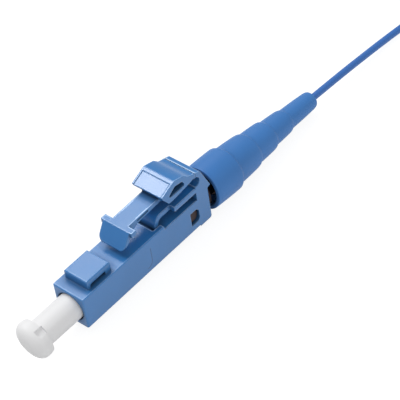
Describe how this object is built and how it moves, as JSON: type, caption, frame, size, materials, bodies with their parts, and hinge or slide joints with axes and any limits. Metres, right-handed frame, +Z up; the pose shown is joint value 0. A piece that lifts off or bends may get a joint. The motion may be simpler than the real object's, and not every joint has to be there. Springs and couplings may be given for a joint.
{
  "type": "lc fibre connector",
  "caption": "Simplex LC fibre plug with latch lever, stepped strain relief boot and dust cap, on a 0.9 mm buffered pigtail put away in a tied hank.",
  "frame": {"origin": "centre of the plug's front face, on the ferrule's axis", "axes": "-X points out of the plug's nose along the ferrule, +Z up towards the latch lever, +Y across"},
  "size_m": [0.094, 0.0108, 0.0103],
  "materials": {
    "housing": "satin blue moulded plastic, lightly clouded",
    "latch_lever": "the same satin blue plastic as the plug body",
    "ferrule": "polished white zirconia",
    "ferrule_flange": "turned brass, thin nickel tint",
    "bare_fibre": "clear glass fibre",
    "coil_spring": "bright steel wire",
    "backbone": "turned brass, dull",
    "guide_tube": "thin clear plastic tube",
    "buffered_fibre": "blue buffer coating",
    "boot": "matte blue soft boot, ringed by small steps",
    "dust_cap": "milky white soft plastic",
    "pigtail": "blue buffer coating",
    "fibre_hank": "blue buffer coating, turns side by side",
    "hank_tie": "black hook-and-loop tape"
  },
  "bodies": {
    "plug": {"housing": "housing", "backbone": "backbone", "guide_tube": "guide_tube", "buffered_fibre": "buffered_fibre", "boot": "boot", "pigtail": "pigtail", "fibre_hank": "fibre_hank", "hank_tie": "hank_tie"},
    "lever": {"latch_lever": "latch_lever"},
    "ferrule_set": {"ferrule": "ferrule", "ferrule_flange": "ferrule_flange", "bare_fibre": "bare_fibre", "coil_spring": "coil_spring"},
    "cap": {"dust_cap": "dust_cap"}
  },
  "joints": [
    {"name": "latch_press", "type": "hinge", "parent": "plug", "child": "lever", "pos_m": [0.0188, 0, 0.00548], "axis": [0, -1, 0], "range_deg": [0, 3.6], "stiffness_Nm_per_rad": 0.1},
    {"name": "ferrule_float", "type": "slide", "parent": "plug", "child": "ferrule_set", "axis": [1, 0, 0], "range_m": [0, 0.0009], "stiffness_N_per_m": 2000, "deforming": ["coil_spring"]},
    {"name": "dust_cap_pull", "type": "slide", "parent": "plug", "child": "cap", "axis": [-1, 0, 0], "range_m": [0, 0.008]}
  ]
}
